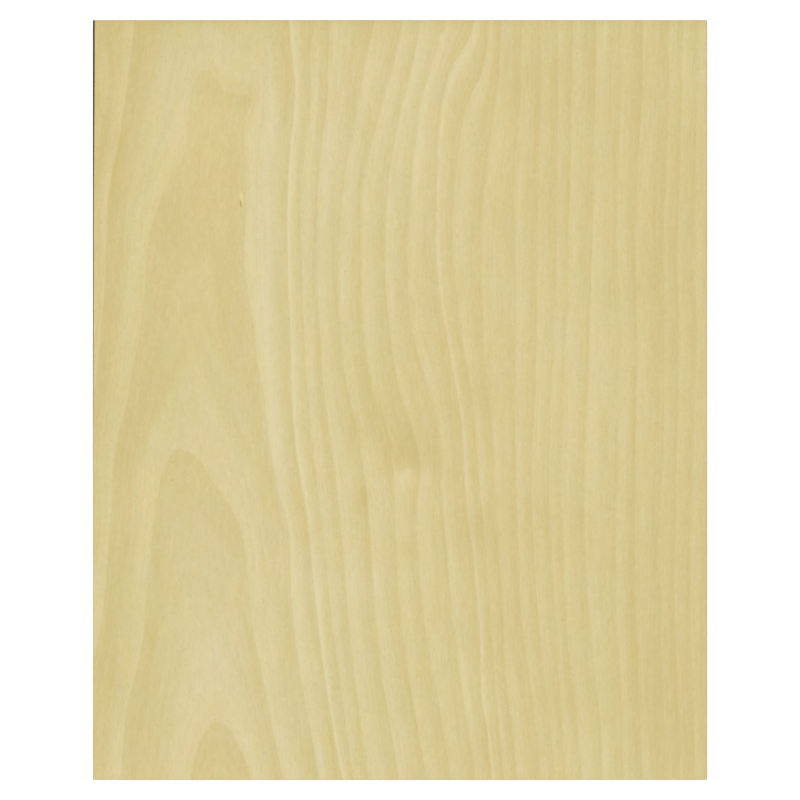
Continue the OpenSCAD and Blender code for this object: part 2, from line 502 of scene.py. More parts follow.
FACE_REDS = patches(
    # the left margin
    (-88, 121, 5, 4, 1.2), (-88, 110, 5, 6, 1.6), (-92, 103, 2.5, 16, -0.6, 0.2), (-94, 85, 5, 7, 1.3),
    (-98, 76, 4, 10, -1.2), (-98, 68, 4, 22, 1.2), (-90, 42, 4, 24, -1.4), (-98, 20, 4, 10, 1.3),
    (-93, 9, 4, 7, -1.4), (-97, -23, 4, 8, -1.5), (-100, -40, 3, 10, -1.5), (-93, -57, 5, 11, -1.9),
    (-90, -64, 6, 8, -1.3), (-93, -86, 5, 8, -1.2), (-95, -103, 7, 6, -1.3),
    # the heart
    (-69, 121, 11, 6, -2.2), (-52, 109, 4, 12, -1.7), (-70, 97, 6, 5, -1.2), (-58, 95, 5, 6, 1.2),
    (-55, 77, 5, 5, 1.5), (-80, 76, 4, 11, -1.3), (-70, 70, 10, 10, 1.6), (-85, 68, 4, 20, -1.7, 0.2),
    (-50, 49, 4, 8, -1.3), (-69, 36, 6, 5, 1.5), (-54, 36, 4, 26, 1.5), (-84, 28, 5, 5, 1.6),
    (-52, 18, 4, 10, 1.6), (-76, 15, 6, 4, -1.2), (-86, 3, 7, 5, 1.4, 1), (-62, 2, 5, 5, -1.2),
    (-72, 1, 13, 4, -2.1), (-52, 1, 8, 5, 1.3), (-79, -5, 5, 11, -1.4), (-72, -19, 5, 5, 1.8),
    (-61, -44, 6, 13, 1.4, -0.3), (-48, -68, 5, 8, 1.1), (-78, -76, 8, 5, -1.3), (-55, -88, 7, 8, 1.5),
    (-79, -94, 5, 18, -1.7), (-80, -113, 6, 6, -1.4), (-60, -114, 8, 7, 1.8),
    # the pale bands beside the heart
    (-32, 122, 6, 6, -1.4), (-45, 103, 4, 10, 1.3), (-33, 80, 5, 8, -1.1), (-35, 66, 4, 18, -1),
    (-33, 7, 4, 8, -1.2), (-38, -50, 4, 8, 1.1), (-39, -112, 7, 6, 1.2, 0.6), (-35, -114, 14, 7, -1.4),
    # the bowed rings above and below the swirl
    (0, 118, 6, 12, 1.5), (14, 114, 4, 10, 1.4, 0.3), (28, 112, 12, 9, 1.3), (-11, 76, 5, 7, -1.1),
    (27, 72, 4, 6, 1.4), (14, 71, 4, 6, 1.1), (12, 60, 4, 13, 1.2), (3, 33, 4, 7, 1.1),
    (4, -40, 4, 6, 1.4), (24, -46, 7, 5, 1.3), (22, -57, 4, 5, -1.2), (12, -61, 5, 5, -1.1),
    (-24, -72, 9, 7, -1), (-5, -72, 6, 6, -1.6), (12, -88, 10, 8, -1.1), (-19, -92, 7, 11, -1.1),
    (0, -103, 13, 4, -1.4), (-15, -108, 17, 6, -1.5),
    # the swirl over a knot that lies just under the face
    (-8, 4, 6, 7, -1.4), (-17, -10, 10, 7, -1.5), (18, -14, 6, 5, 1.5), (16, -25, 15, 5, 1.6),
    # the straight-grained side
    (40, 123, 6, 5, -1.3), (65, 123, 15, 4, -2), (96, 123, 5, 6, -1.5), (45, 86, 7, 15, 1.6),
    (56, 84, 5, 7, -1.2), (97, 76, 5, 8, -1.2), (45, 66, 4, 7, 1), (56, 38, 6, 5, -1.1),
    (72, 29, 5, 6, -1.3), (88, 25, 7, 9, 1), (32, 20, 5, 15, 1.2), (60, 4, 9, 4, -1.1),
    (67, -3, 5, 7, -1.2), (80, -4, 7, 5, 1.1), (53, -27, 5, 6, 1.1), (65, -35, 4, 6, -1.4),
    (36, -40, 7, 11, 1.3), (90, -48, 5, 8, -1.1), (41, -75, 13, 9, 1.1), (42, -76, 4, 5, -1.2),
    (61, -76, 5, 5, -1.5), (51, -90, 5, 5, 1.2), (78, -92, 6, 5, 1.2), (97, -92, 5, 9, 1.2),
    (98, -92, 6, 14, 0.3), (67, -100, 6, 24, -1.6), (73, -120, 8, 8, -1.4),
)

GOOD_FACE = Figure(HEART_LINES + BOWED_LINES + STRAIGHT_LINES, FACE_TONES, FACE_WARMTH, FACE_REDS)


def plain_back() -> Figure:
    """The back veneer's figure: one broad run of nested arches inside evenly spaced ones.

    Returns:
        The figure.
    """
    heart, foot, head = 18.0, -150.0, 150.0
    climb = (0.0, 0.3, 0.55, 0.75, 0.9, 0.96, 0.99)
    steps = [(-1, rise) for rise in climb] + [(1, rise) for rise in (1.0, *reversed(climb))]
    lines = []
    for order, tip in enumerate((-96.0, -38.0, 24.0, 92.0)):
        reach = 15 + 7 * order
        course = [(heart + side * reach * (1 - rise**2.2) ** 0.62, foot + (tip - foot) * rise)
                  for side, rise in steps]
        lines.append(arch(0.9, 0.0, *course))
    for order in range(7):
        reach = 44 + 8.5 * order
        course = [(heart - reach, foot), (heart - reach - 2, 0), (heart - reach + 4, head),
                  (heart, 240 + 20 * order), (heart + reach - 4, head), (heart + reach + 3, 0),
                  (heart + reach, foot)]
        lines.append(arch(0.8, 0.1, *course))
    tones = patches((-60, 40, 20, 60, -1.5), (60, -50, 18, 50, 1.5), (10, 70, 14, 30, 1.5))
    return Figure(tuple(lines), tones, tip_width=16.0, last_width=12.0)


# ---- Shader maths ----


def operators(operation: str) -> tuple[Callable, Callable]:
    """Makes the two methods that an operator between signals and values needs.

    Args:
        operation: The Math node's operation.

    Returns:
        The method for a signal that comes first, and its reflected form.
    """
    def plain(self: "Signal", other: "Value") -> "Signal":
        """Adds the node with the signal first."""
        return self.graph.math(operation, self, other)

    def reflected(self: "Signal", other: "Value") -> "Signal":
        """Adds the node with the signal second."""
        return self.graph.math(operation, other, self)

    return plain, reflected


class Signal:
    """A number, colour or vector that varies over a surface: one output of a shader node."""

    __add__, __radd__ = operators("ADD")
    __sub__, __rsub__ = operators("SUBTRACT")
    __mul__, __rmul__ = operators("MULTIPLY")
    __truediv__, __rtruediv__ = operators("DIVIDE")

    def __init__(self, graph: "Graph", socket: bpy.types.NodeSocket | None) -> None:
        """Wraps the socket of a node in the graph."""
        self.graph = graph
        self.socket = socket

    def __abs__(self) -> "Signal":
        """Drops the sign."""
        return self.graph.math("ABSOLUTE", self)

    def fraction(self) -> "Signal":
        """The part after the whole number."""
        return self.graph.math("FRACT", self)

    def clamp(self) -> "Signal":
        """Held between 0 and 1."""
        return self.graph.add("ShaderNodeClamp", inputs={"Value": self})

    def rise(self, start: float, end: float) -> "Signal":
        """Goes smoothly from 0 at start to 1 at end, or falls if end is the smaller.

        Args:
            start: Where it is 0.
            end: Where it is 1.

        Returns:
            The smooth step.
        """
        settings = {"interpolation_type": "SMOOTHSTEP"}
        low, high = sorted((start, end))
        inputs = {"Value": self, "From Min": low, "From Max": high}
        share = self.graph.add("ShaderNodeMapRange", settings, inputs)
        return share if start < end else 1 - share

    def curve(self, *stops: Point) -> "Signal":
        """Follows a curve of straight stretches.

        Args:
            stops: (input, output) pairs, with inputs between 0 and 1 and outputs between -1 and 1.

        Returns:
            The curve's output.
        """
        greys = [(at, (level / 2 + 0.5,) * 3) for at, level in stops]
        return self.colours(*greys) * 2 - 1

    def colours(self, *stops: tuple[float, Rgb]) -> "Signal":
        """Picks a colour from a row of colours set between 0 and 1."""
        return self.graph.add("ShaderNodeValToRGB", {"stops": stops}, {"Fac": self})


Value = Signal | float | Rgb


class Graph:
    """The node graph of one material, with places over the piece in mm."""

    SEED_STEPS = (7.3, 3.7, 5.1)  # how far each seed moves a pattern along x, y and z, in its cells

    def __init__(self, name: str) -> None:
        """Starts an empty material.

        Args:
            name: The material's name.
        """
        self.material = bpy.data.materials.new(name)
        self.material.use_nodes = True
        self.nodes = self.material.node_tree.nodes
        self.nodes.clear()
        place = self.add("ShaderNodeTexCoord", output="Object")
        settings = {"operation": "SCALE"}
        self.place = self.add("ShaderNodeVectorMath", settings, {"Vector": place, "Scale": 1 / MM})
        self.x, self.y, self.z = (
            self.add("ShaderNodeSeparateXYZ", inputs={"Vector": self.place}, output=axis)
            for axis in "XYZ"
        )

    def add(self, kind: str, settings: dict | None = None, inputs: dict | None = None,
            output: int | str = 0) -> Signal:
        """Adds a node.

        Args:
            kind: The node's type.
            settings: Its settings, set first. "stops" holds a ramp's (place, colour) pairs.
            inputs: Its sockets by name or number, each a signal to link or a value to set.
            output: The output to hand back.

        Returns:
            That output as a signal.
        """
        node = self.nodes.new(kind)
        for name, value in (settings or {}).items():
            if name == "stops":
                ramp = node.color_ramp.elements
                while len(ramp) < len(value):
                    ramp.new(0.5)
                for element, (at, colour) in zip(ramp, value):
                    element.position = at
                    element.color = (*colour, 1)
            else:
                setattr(node, name, value)
        for name, value in (inputs or {}).items():
            if isinstance(value, Signal):
                self.material.node_tree.links.new(value.socket, node.inputs[name])
            else:
                node.inputs[name].default_value = value
        return Signal(self, node.outputs[output] if node.outputs else None)

    def math(self, operation: str, *values: Value) -> Signal:
        """Adds a Math node."""
        return self.add("ShaderNodeMath", {"operation": operation}, dict(enumerate(values)))

    def drawn(self, name: str) -> Signal:
        """Reads a number that the piece carries at each of its points."""
        return self.add("ShaderNodeAttribute", {"attribute_name": name}, output="Fac")

    def at(self, x: Value, y: Value, z: Value) -> Signal:
        """Joins three numbers into a place or a colour."""
        return self.add("ShaderNodeCombineXYZ", inputs={"X": x, "Y": y, "Z": z})

    def cell(self, size: Size, seed: float, place: Signal) -> Signal:
        """Turns a place in mm into one on a random pattern.

        Args:
            size: The pattern's grain along x, y and z, in mm.
            seed: Picks the stretch of the pattern.
            place: The place, in mm.

        Returns:
            The place, in the pattern's cells.
        """
        shift = tuple(seed * step for step in self.SEED_STEPS)
        inputs = {0: place, 1: tuple(1 / length for length in size), 2: shift}
        return self.add("ShaderNodeVectorMath", {"operation": "MULTIPLY_ADD"}, inputs)

    def mottle(self, size: Size, seed: float, detail: float = 2.0,
               place: Signal | None = None) -> Signal:
        """Soft random variation between about -1 and 1.

        Args:
            size: Its grain along x, y and z, in mm.
            seed: Picks the pattern.
            detail: How many finer layers it has.
            place: Where to read it, in mm; the piece's own places if left out.

        Returns:
            The variation.
        """
        inputs = {"Vector": self.cell(size, seed, place or self.place), "Scale": 1.0, "Detail": detail}
        return self.add("ShaderNodeTexNoise", inputs=inputs) * 2 - 1

    def bundles(self, size: Size, seed: float, place: Signal) -> tuple[Signal, Signal]:
        """Long narrow cells, like bundles of fibres, each of an even tone and hue.

        Args:
            size: Their size along x, y and z, in mm.
            seed: Picks the pattern.
            place: Where to read it, in mm.

        Returns:
            Two unrelated numbers between -1 and 1 that are even over each cell.
        """
        inputs = {"Vector": self.cell(size, seed, place), "Scale": 1.0}
        colour = self.add("ShaderNodeTexVoronoi", inputs=inputs, output="Color")
        red, green = (
            self.add("ShaderNodeSeparateColor", inputs={"Color": colour}, output=channel) * 2 - 1
            for channel in ("Red", "Green")
        )
        return red, green

    def blend(self, share: Value, first: Value, second: Value, how: str = "MIX") -> Signal:
        """Blends two colours.

        Args:
            share: How much of the second to use.
            first: The first colour.
            second: The second colour.
            how: The blend mode.

        Returns:
            The blended colour.
        """
        first, second = ((*c, 1) if isinstance(c, tuple) else c for c in (first, second))
        settings = {"data_type": "RGBA", "blend_type": how}
        return self.add("ShaderNodeMix", settings, {0: share, 6: first, 7: second}, output=2)

    def finish(self, surface: dict[str, Value]) -> bpy.types.Material:
        """Ends the graph with its surface.

        Args:
            surface: What the surface's sockets hold, by name.

        Returns:
            The finished material.
        """
        body = self.add("ShaderNodeBsdfPrincipled", inputs=surface)
        self.add("ShaderNodeOutputMaterial", inputs={"Surface": body})
        return self.material

    def wood(self, colour: Signal, roughness: Signal, relief: Signal, depth: float,
             gloss: float) -> bpy.types.Material:
        """Ends the graph with a wooden surface.

        Args:
            colour: Base colour.
            roughness: Roughness.
            relief: Height of the surface, where 1 is its full depth.
            depth: That full depth, in mm.
            gloss: Specular level.

        Returns:
            The finished material.
        """
        bump = self.add("ShaderNodeBump", inputs={"Height": relief, "Distance": depth * MM})
        return self.finish({"Base Color": colour, "Roughness": roughness, "Normal": bump,
                            "Specular IOR Level": gloss})


# ---- The plies ----


class Grain(Enum):
    """Which way a veneer's fibres run."""

    ALONG = "along the sheet"
    ACROSS = "across the sheet"


@dataclass(frozen=True)
class Veneer:
    """One ply of the sheet.

    Attributes:
        name: What the mill calls it.
        thickness: In mm.
        grain: Which way it runs.
    """

    name: str
    thickness: float
    grain: Grain


LAYUP = (
    Veneer("back", 0.9, Grain.ALONG),
    Veneer("lower crossband", 1.3, Grain.ACROSS),
    Veneer("centre", 1.6, Grain.ALONG),
    Veneer("upper crossband", 1.3, Grain.ACROSS),
    Veneer("face", 0.9, Grain.ALONG),
)
GLUE_HALF = 0.07  # half the width of a glue line, in mm


def plies() -> Iterator[tuple[Veneer, float, float]]:
    """Goes up through the sheet.

    Yields:
        Each veneer with the heights of its underside and its top, in mm.
    """
    base = 0.0
    for veneer in LAYUP:
        top = base + veneer.thickness
        yield veneer, base, top
        base = top


# ---- Finishes ----


@dataclass(frozen=True)
class Mark:
    """A small streak-shaped stain or chip in the face.

    Attributes:
        x, y: Its middle, in mm.
        wide, long: Its half sizes across and along the grain, in mm.
        colour: Its colour.
        strength: How much of the wood's own colour it hides, from 0 to 1.
        lean: How far it shifts across for each mm along.
    """

    x: float
    y: float
    wide: float
    long: float
    colour: Rgb
    strength: float
    lean: float = 0.0

    def over(self, g: Graph, colour: Signal) -> Signal:
        """Lays the mark over a colour.

        Args:
            g: The material's graph.
            colour: The colour.

        Returns:
            The marked colour.
        """
        along = (g.y - self.y) / self.long
        across = (g.x - self.x - self.lean * (g.y - self.y)) / self.wide
        inside = 1 - along * along - across * across + 0.35 * g.mottle((0.6, 2.5, 2), self.x, 1)
        return g.blend(self.strength * (2 * inside).clamp(), colour, self.colour)


@dataclass(frozen=True)
class PaintedEdgeShadow:
    """A painted shadow: a thin near-black line along the left edge of the face, widest at the top end and
    gone before the bottom, which also runs a little way down that edge.

    Attributes:
        side: Where that edge is, in mm from the middle.
        top, bottom: Where along it the dark line is widest and where it has died out, in mm.
        colour: Its near-black colour.
    """

    side: float
    top: float
    bottom: float = -30.0
    colour: Rgb = linear(8, 6, 3)

    # its width in mm, at shares of the way from the bottom to the top
    WIDTHS = ((0.0, 0.0), (0.06, 0.09), (0.19, 0.17), (0.30, 0.24), (0.40, 0.27), (0.62, 0.33),
              (0.72, 0.46), (0.83, 0.58), (1.0, 0.66))
    FACE_FADE = 0.05  # how softly it ends on the face, in mm
    EDGE_FADE = 0.25  # how softly it ends down the edge, in mm

    def width(self, g: Graph) -> Signal:
        """Width of the painted shadow, in mm, all along the edge."""
        share = ((g.y - self.bottom) / (self.top - self.bottom)).clamp()
        return share.curve(*self.WIDTHS) + 0.05 * g.mottle((1, 1.2, 1), 91, 1)

    def over(self, g: Graph, colour: Signal) -> Signal:
        """Lays the painted shadow over the colour of the face."""
        share = ((g.x * -1 - self.side + self.width(g)) / self.FACE_FADE).clamp()
        return g.blend(share, colour, self.colour)

    def down(self, g: Graph, colour: Signal, thickness: float) -> Signal:
        """Lays the painted shadow over the colour of the edge, from the top down.

        Args:
            g: The material's graph.
            colour: The colour of the edge.
            thickness: Thickness of the sheet, in mm.

        Returns:
            The burnt colour.
        """
        depth = thickness - g.z + 0.25 * g.mottle((1, 4, 0.5), 92, 2)
        share = ((2.2 * self.width(g) - depth) / self.EDGE_FADE).clamp()
        left_only = (g.x * -1 / self.side).rise(0.5, 0.6)
        return g.blend(0.9 * share * left_only, colour, self.colour)


@dataclass(frozen=True)
class ShadedArrisLine:
    """A narrow darker, greyer line round the face: painted shade along the arris, where the face turns
    down to the edge.

    Attributes:
        half_width, half_length: Half sizes of the sheet, in mm.
        reach: Its width, in mm.
        fade: How softly it ends, in mm.
        tint: What it multiplies the colour by.
    """

    half_width: float
    half_length: float
    reach: float = 0.36
    fade: float = 0.08
    tint: Rgb = (0.82, 0.88, 0.98)

    def over(self, g: Graph, colour: Signal) -> Signal:
        """Lays the line over the colour of a face.

        Args:
            g: The material's graph.
            colour: The colour of the face.

        Returns:
            The greyed colour.
        """
        gap = g.math("MINIMUM", self.half_width - abs(g.x), self.half_length - abs(g.y))
        share = ((self.reach - gap) / self.fade + 0.5 * g.mottle((3, 3, 3), 93, 1)).clamp()
        return g.blend(share, colour, g.blend(1.0, colour, self.tint, "MULTIPLY"))


@dataclass(frozen=True)
class VeneerFinish:
    """Bare softwood veneer, sanded: pale early wood that darkens to late wood and drops back.

    Attributes:
        name: The material's name.
        level: Mean tone, on the veneer's scale of 0 to 255.
        swing: Tone from the palest early wood to the darkest late wood, halved.
        coarse: How strong the loose fibres and checks are; 1 is a well sanded face.
        seed: Picks its random detail.
        marks: What lies on it.
    """

    name: str
    level: float
    swing: float
    coarse: float
    seed: float
    marks: tuple[Mark | PaintedEdgeShadow | ShadedArrisLine, ...] = ()

    # one year's growth: pale at once after the line, slowly darker, then back
    YEAR = ((0.0, 0.5), (0.03, 0.8), (0.12, 1.0), (0.28, 0.9), (0.42, 0.45), (0.55, -0.1),
            (0.70, -0.6), (0.88, -1.0), (1.0, -0.7))
    THREAD = (0.13, 0.15)  # where in the year the bright thread lies, and its half width
    RING_STEP = 6.0  # mm that a ring counts for in a pattern that follows the rings
    DARKEST = 183.0  # tone of the first of the colours
    SPAN = 24.0  # tones from the first of the colours to the last
    COLOURS = (
        (0.0, linear(208, 189, 125)),
        (0.25, linear(212, 195, 135)),
        (0.5, linear(216.5, 200.5, 144)),
        (0.75, linear(221, 206, 154)),
        (1.0, linear(225, 211.5, 164)),
    )
    WARMTH = (0.015, 0.001, -0.044)  # what a step of warmth adds to red, green and blue
    BLUSH = (0.006, -0.006, 0.0)  # what a step of blush adds to them

    def tint(self, g: Graph, place: Signal, thread: Signal, hue: Signal) -> Signal:
        """Mixes the warm and reddish patches.

        Args:
            g: The material's graph.
            place: Where to read the random patterns, in mm.
            thread: 1 on the bright thread beside each growth line, and 0 away from it.
            hue: Hue of the fibre bundles, from -1 to 1.

        Returns:
            What the wood's colour is multiplied by.
        """
        seed = self.seed
        warm = g.drawn("warm") + 0.35 * thread + 1.6 * g.mottle((5, 12, 9), seed + 11, 1, place)
        blush = (
            3.6 * g.mottle((1.1, 1.8, 9), seed + 19, 1, place)
            + 0.5 * hue
            + 2.8 * g.mottle((3.5, 7, 9), seed + 15, 1, place)
            + 0.8 * g.mottle((14, 40, 9), seed + 16, 1, place)
            + g.drawn("red")
        )
        return g.at(*(1 + warmer * warm + redder * blush
                      for warmer, redder in zip(self.WARMTH, self.BLUSH)))

    def build(self) -> bpy.types.Material:
        """Builds the material.

        Returns:
            The material.
        """
        g = Graph(self.name)
        seed = self.seed
        # where in its year each place lies, with lines that wander a little
        ring = g.drawn("ring")
        drift = g.mottle((30, 90, 50), seed + 1, 1)
        place = g.at(g.x + 0.8 * drift, g.y, g.z)
        wobble = (
            0.06 * g.mottle((9, 45, 20), seed + 2, 2, place)
            + 0.05 * g.mottle((1.1, 9, 9), seed + 3, 2, place)
        )
        year = (ring + g.drawn("sway") * wobble).fraction()
        season = year.curve(*self.YEAR)
        # what follows the rings
        following = g.at(ring * self.RING_STEP, g.y, g.z)
        streak = g.mottle((1, 22, 20), seed + 12, 2, following)
        fine_streak = g.mottle((0.42, 26, 20), seed + 20, 1, following)
        contrast = g.drawn("contrast") * (1 + 0.9 * g.mottle((5, 30, 20), seed + 4, 2, following))
        middle, half_width = self.THREAD
        thread = (1 - abs(year - middle) / half_width).clamp()
        gleam = g.drawn("gleam") * thread * (1 + 0.8 * g.mottle((2.5, 9, 9), seed + 21, 1, place))
        # fibres and pores, which run straight
        grit = g.mottle((0.42, 0.5, 1), seed + 7, 1, place)
        dash = g.mottle((0.5, 1.8, 1), seed + 5, 1, place)
        fibre = g.mottle((0.7, 7, 4), seed + 6, 1, place)
        speckle = g.mottle((1.5, 2.2, 3), seed + 13, 2, place)
        cloud = g.mottle((5, 12, 9), seed + 8, 2, place)
        bundle, hue = g.bundles((1.6, 8, 5), seed + 14, place)
        fleck = g.mottle((0.45, 1.2, 1), seed + 17, 1, place).rise(0.36, 0.50)
        glint = g.mottle((0.4, 1.0, 1), seed + 18, 1, place).rise(0.38, 0.50)
        tone = (
            self.level
            + g.drawn("tone")
            + self.swing * contrast * season
            + 5.0 * gleam
            + 4.0 * streak
            + 4.5 * fine_streak
            + self.coarse * (4.0 * grit + 4.5 * dash + 4.0 * fibre + 4.0 * speckle + 0.9 * bundle)
            + self.coarse * (9 * glint - 12 * fleck)
            + 1.5 * cloud
        )
        colour = ((tone - self.DARKEST) / self.SPAN).clamp().colours(*self.COLOURS)
        colour = g.blend(1.0, colour, self.tint(g, place, thread, hue), "MULTIPLY")
        for mark in self.marks:
            colour = mark.over(g, colour)
        roughness = 0.62 - 0.05 * season + 0.04 * fibre
        relief = 0.5 + 0.25 * dash + 0.15 * fibre + 0.1 * season - 0.3 * fleck
        return g.wood(colour, roughness, relief, depth=0.03 * self.coarse, gloss=0.3)


@dataclass(frozen=True)
class SawnEdgeFinish:
    """A sawn edge of the sheet, where every ply shows its side grain or its end grain.

    Attributes:
        name: The material's name.
        facing: The grain of the plies that show side grain on this edge.
        thickness: Of the sheet, in mm.
        seed: Picks its random detail.
        painted_edge_shadow: The painted shadow line that runs down it, if any.
    """

    name: str
    facing: Grain
    thickness: float
    seed: float
    painted_edge_shadow: PaintedEdgeShadow | None = None

    SIDE = linear(214, 194, 140)
    SIDE_DARK = linear(196, 170, 112)
    END = linear(186, 156, 104)
    END_DARK = linear(150, 117, 72)
    GLUE = linear(122, 84, 50)
    SOFT = 0.03  # how softly one ply's colour meets the next, in mm

    def masks(self, height: Signal) -> tuple[Signal, Signal]:
        """Finds the plies and the glue on the edge.

        Args:
            height: Height over the underside, in mm.

        Returns:
            1 on the plies that show side grain, and 1 on the glue lines.
        """
        side, glue = 0, 0
        for veneer, base, top in plies():
            if veneer.grain is self.facing:
                over_base = 1 if veneer is LAYUP[0] else height.rise(base - self.SOFT, base + self.SOFT)
                under_top = 1 if veneer is LAYUP[-1] else height.rise(top + self.SOFT, top - self.SOFT)
                side = side + over_base * under_top
            if veneer is not LAYUP[-1]:
                glue = glue + (1 - abs(height - top) / GLUE_HALF).clamp()
        return side, glue

    def side_grain(self, g: Graph, spot: Signal) -> tuple[Signal, Signal]:
        """Draws the plies whose fibres run along the edge.

        Args:
            g: The material's graph.
            spot: Places along the edge and up it, in mm.

        Returns:
            Their colour and their relief.
        """
        fibre = g.mottle((9, 1, 0.12), self.seed + 1, 2, spot)
        late_wood = g.mottle((60, 1, 0.30), self.seed + 2, 1, spot).rise(0.10, 0.42)
        pale = (0.55 + 0.5 * fibre - 0.75 * late_wood).clamp()
        return g.blend(pale, self.SIDE_DARK, self.SIDE), 0.2 * fibre

    def end_grain(self, g: Graph, spot: Signal, along: Signal, height: Signal) -> tuple[Signal, Signal]:
        """Draws the plies whose fibres are cut across.

        Args:
            g: The material's graph.
            spot: Places along the edge and up it, in mm.
            along: Distance along the edge, in mm.
            height: Height over the underside, in mm.

        Returns:
            Their colour and their relief.
        """
        pores = g.mottle((0.16, 1, 0.16), self.seed + 3, 2, spot)
        leaning = along + 2.2 * height + 3 * g.mottle((12, 1, 3), self.seed + 7, 1, spot)
        rings = g.mottle((1.6, 1, 40), self.seed + 4, 1, g.at(leaning, 0.0, height))
        patch = g.mottle((16, 1, 3), self.seed + 8, 1, spot)
        pale = (0.5 + 0.5 * pores + 0.75 * rings + 0.4 * patch).clamp()
        # holes in the end grain sink in the relief and take the glue's dark brown: painted shade in these
        # recesses
        hole = g.mottle((0.22, 1, 0.2), self.seed + 9, 1, spot).rise(0.42, 0.55)
        colour = g.blend(0.6 * hole, g.blend(pale, self.END_DARK, self.END), self.GLUE)
        return colour, 0.3 * pores - 0.4 * hole

    def build(self) -> bpy.types.Material:
        """Builds the material.

        Returns:
            The material.
        """
        g = Graph(self.name)
        along = g.y if self.facing is Grain.ALONG else g.x
        height = g.z + 0.05 * g.mottle((14, 14, 50), self.seed, 1)
        spot = g.at(along, 0.0, height)
        side, glue = self.masks(height)
        side_colour, side_relief = self.side_grain(g, spot)
        end_colour, end_relief = self.end_grain(g, spot, along, height)
        colour = g.blend(side, end_colour, side_colour)
        squeezed_out = (0.62 + 0.5 * g.mottle((4, 4, 9), self.seed + 5, 2)).clamp()
        colour = g.blend(glue * squeezed_out, colour, self.GLUE)
        saw = g.mottle((0.9, 1, 6), self.seed + 6, 2, g.at(along + 0.5 * height, 0.0, height))
        shade = 1 + 0.08 * saw + 0.06 * g.mottle((30, 1, 9), self.seed + 10, 1, spot)
        colour = g.blend(1.0, colour, g.at(shade, shade, shade), "MULTIPLY")
        # painted shadow: the dark line runs a little way down the top of the left edge
        if self.painted_edge_shadow:
            colour = self.painted_edge_shadow.down(g, colour, self.thickness)
        relief = 0.5 + end_relief * (1 - side) + side_relief * side + 0.25 * saw - 0.4 * glue
        return g.wood(colour, 0.8 - 0.12 * side, relief, depth=0.08, gloss=0.25)


@dataclass(frozen=True)
class FloorFinish:
    """A smooth, matt white studio floor.

    Attributes:
        white: How much light it gives back.
        glow: Light of its own, which keeps it an even white.
    """

    white: float = 0.8
    glow: float = 0.42

    def build(self) -> bpy.types.Material:
        """Builds the material.

        Returns:
            The material.
        """
        g = Graph("studio_floor")
        shade = self.white + 0.002 * g.mottle((80, 80, 80), 1, 1)
        return g.finish({"Base Color": g.at(shade, shade, shade), "Roughness": 0.9,
                         "Specular IOR Level": 0.2, "Emission Color": (1, 1, 1, 1),
                         "Emission Strength": self.glow})


# ---- The sheet ----


class Surface(Enum):
    """The kinds of surface on the sheet, in the order of its material slots."""

    FACE = 0
    BACK = 1
    LONG_EDGE = 2
    END_EDGE = 3


@dataclass(frozen=True)
class BakeLayout:
    """Where each surface lies on the page that the finishes are baked to, in dots.

    Attributes:
        page: Side of the page.
        gap: Least gap between two surfaces.
        face, back: Dots for each mm of the face and of the back.
        edge_along, edge_up: Dots for each mm along the edges and up them.
    """

    page: float = 1024.0
    gap: float = 4.0
    face: float = 3.0
    back: float = 1.9
    edge_along: float = 3.95
    edge_up: float = 8.0


